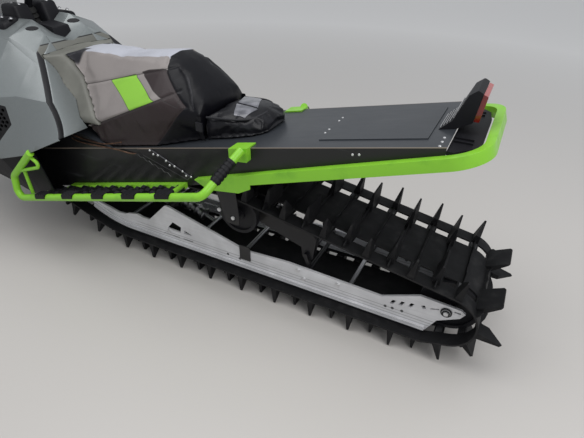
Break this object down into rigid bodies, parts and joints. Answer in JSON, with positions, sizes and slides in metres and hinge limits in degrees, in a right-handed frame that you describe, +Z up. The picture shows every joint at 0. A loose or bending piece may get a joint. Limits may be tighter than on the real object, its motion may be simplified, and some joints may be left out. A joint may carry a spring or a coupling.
{
  "type": "snowmobile",
  "caption": "Long-track mountain snowmobile with paddle track, twin slide rails, sloping tunnel, tube running boards, seat and two steered skis.",
  "frame": {"origin": "on the floor, below the middle of the overall box", "axes": "+X forward, towards the ski tips; +Y to the left; +Z up"},
  "size_m": [3.2804, 1.105, 1.15],
  "materials": {
    "track_rubber": "moulded rubber, matt, with a faint grey bloom on the paddles",
    "rail_alloy": "bare extruded alloy, fine lengthwise lines",
    "slider_plastic": "hard black plastic strip",
    "black_steel": "satin black powder coat",
    "bare_steel": "bare satin steel",
    "tunnel_black": "black coat with a soft gloss",
    "lime_paint": "bright lime green coat, glossy",
    "body_silver": "grey metallic moulded panel",
    "belly_black": "black moulded plastic, fine grain",
    "vent_black": "black honeycomb grille",
    "seat_black": "black grained vinyl",
    "seat_grey": "grey grained vinyl",
    "bag_black": "black woven bag cloth",
    "screen_smoke": "smoked clear plastic sheet",
    "lamp_clear": "clear lamp cover",
    "lens_red": "red lamp lens",
    "engine_alloy": "plain cast alloy",
    "wheel_black": "black moulded wheel with a rubber rim",
    "ski_plastic": "black moulded ski",
    "grip_rubber": "soft black rubber",
    "spring_steel": "lime coated spring on a black damper"
  },
  "bodies": {
    "chassis": {"track": "track_rubber", "slide_rail_left": "rail_alloy", "slide_rail_right": "rail_alloy", "rail_sliders": "slider_plastic", "rear_idlers": "wheel_black", "upper_idlers": "wheel_black", "drive_axle": "wheel_black", "rear_arm": "black_steel", "front_arm": "black_steel", "cross_rods": "bare_steel", "track_shocks": "bare_steel", "tunnel": "tunnel_black", "suspension_hangers": "black_steel", "rear_bumper": "lime_paint", "snow_flap": "belly_black", "tail_light": "belly_black", "tail_lens": "lens_red", "running_board_left": "lime_paint", "running_board_right": "lime_paint", "seat_rear": "seat_black", "seat_front": "seat_grey", "seat_bag": "bag_black", "belly_pan": "belly_black", "headlights": "lamp_clear", "board_treads": "belly_black", "knee_trims": "belly_black", "hood": "body_silver", "side_vents": "vent_black", "side_panel_left": "body_silver", "side_panel_right": "body_silver", "fin_left": "body_silver", "fin_right": "body_silver", "console": "body_silver", "engine_block": "engine_alloy", "windshield": "screen_smoke", "gauge": "belly_black", "lower_arms": "black_steel", "upper_arms": "black_steel", "ski_shocks": "spring_steel", "front_bumper": "lime_paint", "steering_stand": "black_steel"},
    "handlebar": {"steering_post": "black_steel", "handlebar": "black_steel", "hand_grips": "grip_rubber"},
    "ski_left": {"spindle_left": "black_steel", "ski_left": "ski_plastic"},
    "ski_right": {"spindle_right": "black_steel", "ski_right": "ski_plastic"},
    "tie_rod_left": {"tie_rod_left": "bare_steel"},
    "tie_rod_right": {"tie_rod_right": "bare_steel"}
  },
  "joints": [
    {"name": "steering", "type": "hinge", "parent": "chassis", "child": "handlebar", "pos_m": [0.51019, 0, 0.7], "axis": [-0.454, 0, 0.891], "range_deg": [-35, 35]},
    {"name": "ski_left_steer", "type": "hinge", "parent": "chassis", "child": "ski_left", "pos_m": [1.02019, 0.47, 0.2], "axis": [0, 0, 1], "range_deg": [-26, 26]},
    {"name": "tie_rod_left_eye", "type": "hinge", "parent": "ski_left", "child": "tie_rod_left", "pos_m": [0.94219, 0.47, 0.3153], "axis": [0, 0, 1], "range_deg": [-26, 26]},
    {"name": "ski_right_steer", "type": "hinge", "parent": "chassis", "child": "ski_right", "pos_m": [1.02019, -0.47, 0.2], "axis": [0, 0, 1], "range_deg": [-26, 26]},
    {"name": "tie_rod_right_eye", "type": "hinge", "parent": "ski_right", "child": "tie_rod_right", "pos_m": [0.94219, -0.47, 0.3153], "axis": [0, 0, 1], "range_deg": [-26, 26]}
  ],
  "couplings": [
    {"joint": "ski_left_steer", "follows": "steering", "ratio": 0.74},
    {"joint": "tie_rod_left_eye", "follows": "steering", "ratio": -0.74},
    {"joint": "ski_right_steer", "follows": "steering", "ratio": 0.74},
    {"joint": "tie_rod_right_eye", "follows": "steering", "ratio": -0.74}
  ]
}
